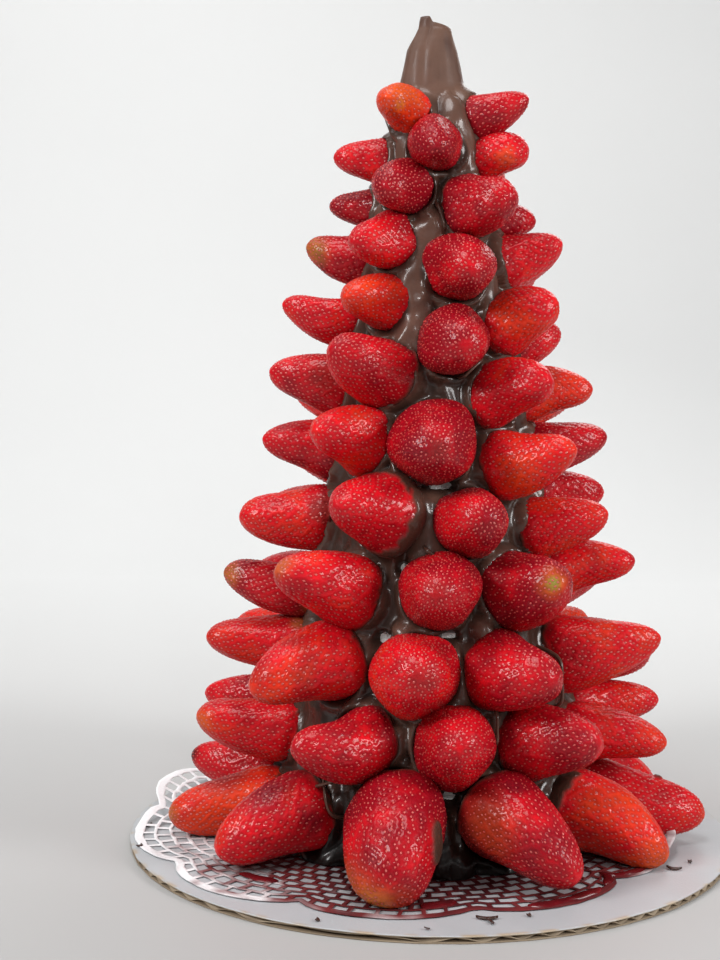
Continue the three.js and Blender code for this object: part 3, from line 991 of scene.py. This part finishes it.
def make_coat(berries, material):
    """The chocolate as one dense skin from its foot to the top of its peak."""
    turn = np.linspace(0, 2 * pi, COAT_COLUMNS, endpoint=False)
    level = np.linspace(CORE_FOOT, PEAK_HEIGHTS[-1], COAT_ROWS)
    level, turn = (grid.ravel() for grid in np.meshgrid(level, turn, indexing="ij"))
    out = outwards(np.degrees(turn))
    plain = out * coat_surface(turn, level)[:, None]
    plain[:, 2] = level
    on_cone = smoothstep(CORE_TOP + 6, CORE_TOP - 8, level)
    strokes = STROKE_HEIGHT * (ridges(plain, STROKE_SIZE, STROKE_FORM) - 1)
    creases = CREASE_HEIGHT * (ridges(plain, CREASE_SIZE, CREASE_FORM) - 1)
    pooled = POOL_HEIGHT * smoothstep(14, 5, level) * patches(plain, low=-0.1, high=0.5, size=17, shift=5)
    lip, gap = lips(plain, berries)
    raised = np.maximum(np.maximum(lip, smears(plain, turn)), pooled)
    raised = raised + strokes * on_cone + creases * (1 - on_cone)
    raised = raised * (1 - BARE_FLATNESS * bareness(turn, level, BARE_SLOPE))
    bare = bareness(turn, level, BARE_OUTSIDE)
    raised = raised * (1 - bare) - (COAT_THICKNESS + BARE_DROP) * bare
    points = plain + out * raised[:, None]
    points[:, 0] += np.interp(level, PEAK_HEIGHTS, PEAK_MIDDLES) * (1 - on_cone)
    points = np.concatenate([points, *peak_cap(points[-COAT_COLUMNS:])])

    corner, beside = rings(COAT_ROWS + len(CAP_RINGS), COAT_COLUMNS)
    last = len(points) - 1
    faces = quads(corner[:-1], beside[:-1], beside[1:], corner[1:]).tolist()
    faces += [(a, b, last) for a, b in zip(corner[-1], beside[-1])]
    tint = coat_tint(points, gap)
    new_piece("chocolate", points, faces, tint, [material], ["chocolate_coat"])


def make_strands(material):
    """Thin threads of chocolate that arch off the coat from berry to berry."""
    chance = random.Random("strands")
    part = np.linspace(0, 1, STRAND_STEPS)
    points, faces = [], []
    for azimuth, level, to_azimuth, to_level, stand in STRANDS:
        bow = chance.uniform(-STRAND_BOW, STRAND_BOW) * part * (1 - part)
        out = outwards(blend(azimuth, to_azimuth, part) + bow)
        height = blend(level, to_level, part)
        arch = stand * (1 - (2 * part - 1) ** 6) - 1
        middle = out * (core_radius(height) + COAT_THICKNESS + arch)[:, None]
        middle[:, 2] = height
        along = unit(np.gradient(middle, axis=0))
        side = unit(np.cross(along, out))
        rise = np.cross(side, along)
        radius = STRAND_THICKNESS * (0.8 + 0.5 * np.abs(2 * part - 1)) * uneven(middle, weight=0.3, size=3)
        corner, beside = rings(STRAND_STEPS, STRAND_SIDES, len(points))
        for step in range(STRAND_STEPS):
            for angle in turns(STRAND_SIDES):
                across = cos(angle) * side[step] + sin(angle) * rise[step]
                points.append(middle[step] + radius[step] * across)
        faces.extend(quads(corner[:-1], beside[:-1], beside[1:], corner[1:]))
    new_piece("chocolate_strands", points, faces, CHOCOLATE_DARK, [material])


def lace_outline(turn):
    """The doily's outer radius by turn: round lobes between notches."""
    lobe = (np.degrees(turn) - LACE_FIRST_NOTCH) * LACE_LOBES / 360
    bulge = np.sin(pi * (lobe - np.floor(lobe)))
    ragged = LACE_RAGGEDNESS * noise_at(outwards(np.degrees(turn)) * DOILY_RADIUS, 5)
    notched = LACE_LOBE_DEPTH * (1 - np.sqrt(np.clip(bulge, 0, 1)))
    return DOILY_RADIUS + ragged - LACE_RAGGEDNESS - notched


def lace_points(part, turn):
    """Points of the flat doily: part runs from 0 at the lace's inside to 1 at the scalloped edge."""
    edge = lace_outline(turn)
    mean = edge.max() - 0.35 * LACE_LOBE_DEPTH
    radius = LACE_INNER + (mean - LACE_INNER) * part + (edge - mean) * smoothstep(0.55, 1, part)
    return DOILY_CENTRE + outwards(np.degrees(turn)) * radius[:, None]


def lace_lattice(chance, lace_end):
    """The corners of the lace's cells, ring by ring from the inside."""
    points = []
    for ring in range(LACE_RINGS + 1):
        turn = turns(LACE_CORNERS) + jitter(chance, 0.008, LACE_CORNERS)
        part = lace_end * (ring + jitter(chance, 0.1, LACE_CORNERS)) / LACE_RINGS
        points.extend(lace_points(np.clip(part, 0, lace_end), turn))
    return points


def lace_hole(corners, chance):
    """The corners of the hole in a cell of lace: the cell's own, drawn in by the width of a strand."""
    middle = corners.mean(axis=0)
    radial = unit(middle - DOILY_CENTRE)
    deep = ((corners - middle) @ radial)[:, None] * radial
    wide = corners - middle - deep
    strand = LACE_STRAND * chance.uniform(0.8, 1.4)
    deep = deep * (1 - strand / lengths(deep).mean())
    wide = wide * (1 - 1.4 * strand / lengths(wide).max())
    return middle + deep + wide


def doily_lift(points):
    """How far the paper stands off the board: small waves, and lobes that curl up at the sides."""
    away = points - DOILY_CENTRE
    turn = np.degrees(np.arctan2(away[:, 0], -away[:, 1]))
    waves = 0.5 + 0.5 * noise_at(points, 16)
    loose = smoothstep(86, 116, from_axis(away))
    curl = np.zeros(len(points))
    for middle, half_width, height in LACE_CURLS:
        curl = curl + height * np.exp(-(((turn - middle) / half_width) ** 4))
    return LACE_GAP + loose * (LACE_WAVES * waves + curl * loose)


def doily_tint(points):
    """White paper, soaked dark red and brown by the juice under the berries and at the front."""
    reach = from_axis(points - np.array(STAIN_CENTRE))
    soaked = (STAIN_RADIUS - reach) / STAIN_FRINGE + 0.6 * noise_at(points, 22) + noise_at(points, 5)
    dark = noise_at(points, 12, 30) + (70 - reach) / 60
    stain = mix(STAIN_LIGHT, STAIN_DARK, smoothstep(-0.5, 0.6, dark))
    dry = smoothstep(DOILY_TOP + 3, DOILY_TOP + 7, points[:, 2])
    dry = dry * blend(1, 0.3, smoothstep(0, 80, points[:, 0]))
    return mix(PAPER_WHITE, stain, smoothstep(-0.7, 1.0, soaked) * (1 - dry))


def make_doily(material):
    """Lace: a lattice of six-cornered cells, each a ring of paper round a hole, a border and a hub."""
    chance = random.Random("lace")
    lace_end = 1 - LACE_BORDER / (lace_outline(np.zeros(1))[0] - LACE_INNER)
    points = lace_lattice(chance, lace_end)
    loops = []
    for ring in range(LACE_RINGS):
        for first in range(ring % 2, LACE_CORNERS, 2):
            inner = ring * LACE_CORNERS + (first + np.arange(3)) % LACE_CORNERS
            rim = np.concatenate([inner, inner[::-1] + LACE_CORNERS])
            loops.append((rim, len(points) + np.arange(len(rim))))
            points.extend(lace_hole(np.array([points[corner] for corner in rim]), chance))
    circle = np.arange(LACE_CORNERS)
    turn = turns(LACE_CORNERS)
    border = [circle + LACE_RINGS * LACE_CORNERS]
    for part in np.linspace(lace_end, 1, LACE_BORDER_RINGS + 1)[1:]:
        border.append(circle + len(points))
        points.extend(lace_points(np.full(LACE_CORNERS, part), turn))
    hub = [circle]
    for radius in LACE_HUB:
        hub.append(circle + len(points))
        points.extend(DOILY_CENTRE + outwards(np.degrees(turn)) * radius)
    loops += [*zip(border, border[1:]), *zip(hub[1:], hub)]
    faces = [face for a, b in loops for face in quads(a, np.roll(a, -1), np.roll(b, -1), b)]
    points = np.array(points)
    points[:, 2] += doily_lift(points)
    piece = new_piece("lace_doily", points, faces, doily_tint(points), [material], ["doily"])
    thicken(piece, PAPER_THICKNESS, 1)


def make_juice(material):
    """Flat domed puddles of juice that soaked through the lace."""
    part = np.linspace(0, 1, PUDDLE_STEPS)
    taper = 0.06 + 0.94 * np.sqrt(1 - (2 * part - 1) ** 4)
    points, faces = [], []
    for turn, to_turn, inset, half in PUDDLES:
        out = outwards(blend(turn, to_turn, part))
        reach = lace_outline(np.radians(blend(turn, to_turn, part))) - inset
        width = half * taper * uneven(out * reach[:, None], weight=0.5, size=7)
        faces.extend(sheet(PUDDLE_ROWS, PUDDLE_STEPS, len(points)))
        for side in np.linspace(-1, 1, PUDDLE_ROWS):
            row = DOILY_CENTRE + out * (reach + side * width)[:, None]
            row[:, 2] += doily_lift(row) + PUDDLE_TOP * taper * sqrt(1 - side**2)
            points.extend(row)
    new_piece("juice", points, faces, mottled(STAIN_DARK, JUICE_RED, points, 5), [material])


def disc(radius, low, high):
    """A round sheet with a softly rounded edge, as points and faces of quads and a hub."""
    out = outwards(np.degrees(turns(DISC_COLUMNS)))
    edge = 0.35 * noise_at(out * radius, size=9)
    bevel = DISC_BEVEL * (high - low)
    inner = [radius * share for share in DISC_SHARES] + [radius - depth for depth in DISC_RIM]
    path = [(reach, high) for reach in inner]
    path += [(radius - bevel, high), (radius, high - bevel), (radius, low + bevel), (radius - bevel, low)]
    path += [(reach, low) for reach in inner[::-1]]
    loops = []
    for reach, level in path:
        ring = out * (reach + edge * smoothstep(0.9, 1.0, reach / radius))[:, None]
        ring[:, 2] = level
        loops.append(ring)
    points = np.concatenate(loops + [np.array([[0, 0, high], [0, 0, low]])])
    corner, beside = rings(len(path), DISC_COLUMNS)
    top, bottom = len(points) - 2, len(points) - 1
    faces = quads(corner[:-1], corner[1:], beside[1:], beside[:-1]).tolist()
    faces += [(a, b, top) for a, b in zip(corner[0], beside[0])]
    faces += [(b, a, bottom) for a, b in zip(corner[-1], beside[-1])]
    return points, faces


def make_board(white, kraft):
    """The corrugated board: a white face, a brown back, and a wavy sheet that shows at the edge."""
    low, high = (np.array(corner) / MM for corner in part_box("board"))
    radius = (high[0] - low[0]) / 2
    points, faces = disc(radius, high[2] - LINER, high[2])
    blush = patches(points, low=0.1, high=0.6, size=45, shift=7) * smoothstep(-20, 90, points[:, 0])
    rim = smoothstep(high[2] - 0.25 * LINER, high[2] - 0.6 * LINER, points[:, 2])
    worn = smoothstep(radius - 2.4, radius - 0.4, from_axis(points))
    worn = worn * patches(points, low=-0.1, high=0.4, size=6, shift=3)
    tint = mix(mix(BOARD_WHITE, BOARD_BLUSH, 0.9 * blush), KRAFT_LIGHT, np.maximum(rim, worn))
    new_piece("board_face", points, faces, tint, [white], ["board"])

    points, faces = disc(radius - BACK_INSET, low[2], low[2] + LINER)
    brown = mottled(KRAFT_LIGHT, KRAFT_DARK, points, 18)
    new_piece("board_back", points, faces, brown, [kraft], ["board"])

    across = outwards(np.array(FLUTE_DIRECTION))
    loops = []
    for reach in np.linspace(radius - FLUTE_DEPTH, radius - FLUTE_INSET, FLUTE_ROWS):
        ring = outwards(np.degrees(turns(FLUTE_COLUMNS))) * reach
        wave = np.sin(2 * pi * (ring @ across) / FLUTE_PITCH)
        ring[:, 2] = (low[2] + high[2]) / 2 + wave * ((high[2] - low[2]) / 2 - LINER)
        loops.append(ring)
    points = np.concatenate(loops)
    corner, beside = rings(FLUTE_ROWS, FLUTE_COLUMNS)
    faces = quads(corner[:-1], corner[1:], beside[1:], beside[:-1])
    # Painted shade: the wavy sheet darkens deeper inside the board's edge.
    tint = mix(KRAFT_LIGHT, KRAFT_SHADE, smoothstep(radius - 1.5, radius - 7, from_axis(points)))
    tint = mix(tint, KRAFT_DARK, 0.7 * patches(points, low=-0.2, high=0.4, size=7))
    piece = new_piece("board_flutes", points, faces, tint, [kraft], ["board"])
    thicken(piece, FLUTE_THICKNESS, 0)


def make_crumbs(material):
    """Curled shavings of chocolate that fell on the board."""
    chance = random.Random("crumbs")
    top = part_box("board")[1].z / MM
    up = np.array([0, 0, CRUMB_RISE])
    points, faces = [], []
    for x, y, length, turn in CRUMBS:
        along = np.array([cos(radians(turn)), sin(radians(turn)), 0])
        across = np.array([-along[1], along[0], 0])
        curl = chance.uniform(0.15, 0.4) * length
        faces.extend(sheet(CRUMB_STEPS, 2, len(points)))
        for part in np.linspace(-0.5, 0.5, CRUMB_STEPS):
            middle = np.array([x, y, top + CRUMB_GAP]) + along * length * part
            middle = middle + across * curl * (4 * part * part) + up * abs(part)
            half = CRUMB_WIDTH * (1 - (1.6 * part) ** 2) + CRUMB_TIP
            points.extend([middle - half * across, middle + half * across + up])
    piece = new_piece("chocolate_crumbs", points, faces, CRUMB_BROWN, [material])
    thicken(piece, CRUMB_THICKNESS, 1)


def make_stage(material):
    """A pale floor that sweeps up into a pale wall behind; painted light makes it paler towards the wall
    and at the floor's front edge.
    """
    profile = [(y, 0) for y in FLOOR_STEPS]
    for angle in np.linspace(0, pi / 2, SWEEP_STEPS + 1):
        profile.append((FLOOR_END + SWEEP_RADIUS * sin(angle), SWEEP_RADIUS * (1 - cos(angle))))
    profile.append((FLOOR_END + SWEEP_RADIUS, WALL_TOP))
    points = np.array([(x, y, z) for y, z in profile for x in (-STAGE_HALF, STAGE_HALF)], float)
    corner, beside = rings(len(profile), 2)
    faces = quads(corner[:-1, 0], beside[:-1, 0], beside[1:, 0], corner[1:, 0])
    depth = points[:, 1] + points[:, 2]
    # Painted light: the floor's colour grows paler towards the wall and towards its front edge.
    painted_light = np.maximum(smoothstep(-200, 700, depth), 0.4 * smoothstep(-300, -600, depth))
    floor = new_object("floor", points, faces, mix(FLOOR_TONE, WALL_TONE, painted_light), [material])


def make_light():
    """Round area lamps and the soft light of the room."""
    for name, (place, target, size, power) in LAMPS.items():
        lamp = bpy.data.lights.new(name, "AREA")
        lamp.shape = "DISK"
        lamp.size = size * MM
        lamp.energy = power
        light = bpy.data.objects.new(name, lamp)
        light.location = Vector(place) * MM
        aim = Vector(target) - Vector(place)
        light.rotation_euler = aim.to_track_quat("-Z", "Y").to_euler()
        scene.collection.objects.link(light)
    world = bpy.data.worlds.new("soft_room")
    world.use_nodes = True
    nodes, links = world.node_tree.nodes, world.node_tree.links
    strength = nodes.new("ShaderNodeMapRange")
    strength.inputs["To Min"].default_value = ROOM_LIGHT
    strength.inputs["To Max"].default_value = ROOM_TONE
    links.new(nodes.new("ShaderNodeLightPath").outputs["Is Camera Ray"], strength.inputs["Value"])
    links.new(strength.outputs["Result"], nodes["Background"].inputs["Strength"])
    nodes["Background"].inputs["Color"].default_value = (1, 1, 1, 1)
    scene.world = world
    scene.view_settings.view_transform = "Standard"


def make_camera():
    camera = bpy.data.cameras.new("camera")
    camera.lens = CAMERA_LENS
    camera.sensor_width = CAMERA_SENSOR
    view = bpy.data.objects.new("camera", camera)
    turn = Matrix.Rotation(radians(CAMERA_YAW), 4, "Z")
    tilt = Matrix.Rotation(radians(90 + CAMERA_PITCH), 4, "X")
    roll = Matrix.Rotation(radians(CAMERA_ROLL), 4, "Z")
    view.matrix_world = Matrix.Translation(Vector(CAMERA_PLACE) * MM) @ turn @ tilt @ roll
    scene.collection.objects.link(view)
    scene.camera = view


make_camera()
make_light()
finishes = {name: new_material(name, **values) for name, values in MATERIALS.items()}
make_stage(finishes["pale_floor"])

chocolate = chocolate_material()
berries = near_berries() + far_berries()
for one in berries:
    make_berry(one, [finishes["strawberry_flesh"], finishes["strawberry_seed"]])
make_coat(berries, chocolate)
make_strands(chocolate)
for core_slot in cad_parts["core"].material_slots:
    core_slot.material = finishes["foam"]
make_doily(finishes["lace_paper"])
make_juice(finishes["berry_juice"])
make_board(finishes["white_card"], finishes["kraft_card"])
make_crumbs(chocolate)
